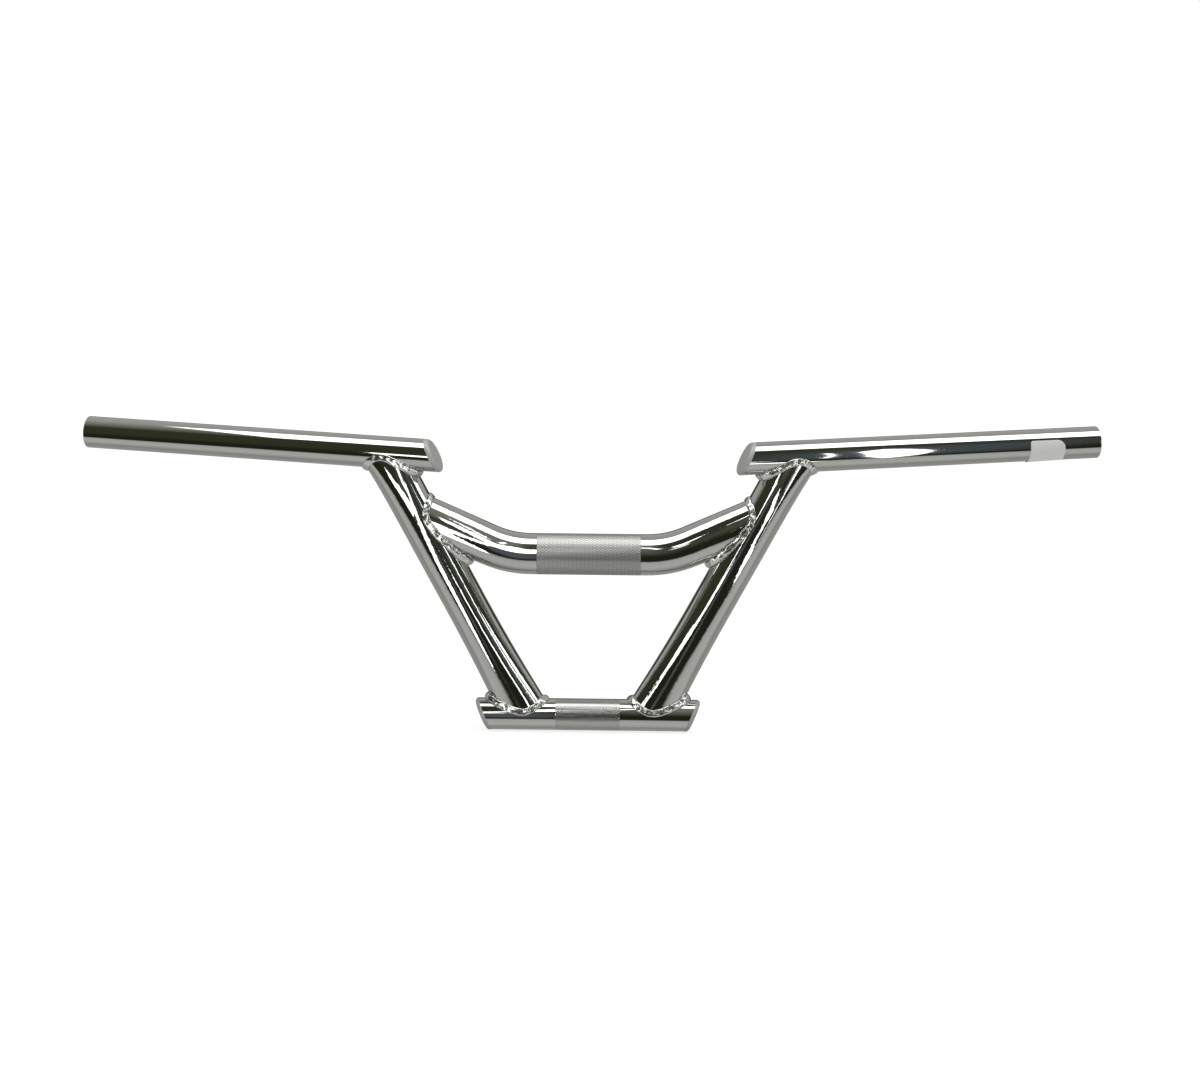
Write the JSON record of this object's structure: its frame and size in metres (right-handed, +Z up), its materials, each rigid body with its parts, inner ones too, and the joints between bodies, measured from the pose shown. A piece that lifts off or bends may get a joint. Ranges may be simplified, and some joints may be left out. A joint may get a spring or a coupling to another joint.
{
  "type": "motorcycle handlebar",
  "caption": "Chrome-plated welded motorcycle handlebar: swept hand bars on leaning risers, a bent knurled crossbar and a short straight clamp bar",
  "frame": {"origin": "middle of the clamp bar's axis, midway between the risers", "axes": "+X along the clamp bar to the right as seen from the front, +Y back towards the rider, +Z up along the rise of the bar"},
  "size_m": [0.7112, 0.0697, 0.2123],
  "materials": {
    "chrome_tube": "bright chrome plate over polished steel tube",
    "chrome_cap": "chrome plate over a ground, slightly satin face",
    "chrome_weld": "chrome plate over an unground weld bead",
    "label_paper": "thin blank white paper sticker"
  },
  "bodies": {
    "root": {"bottom_bar": "chrome_tube", "bottom_bar_left_cap": "chrome_cap", "bottom_bar_right_cap": "chrome_cap", "left_riser": "chrome_tube", "right_riser": "chrome_tube", "crossbar": "chrome_tube", "left_hand_bar": "chrome_tube", "right_hand_bar": "chrome_tube", "left_hand_bar_cap": "chrome_cap", "right_hand_bar_cap": "chrome_cap", "left_upper_weld": "chrome_weld", "right_upper_weld": "chrome_weld", "left_lower_weld": "chrome_weld", "right_lower_weld": "chrome_weld", "left_crossbar_weld": "chrome_weld", "right_crossbar_weld": "chrome_weld", "paper_label": "label_paper"}
  },
  "joints": []
}
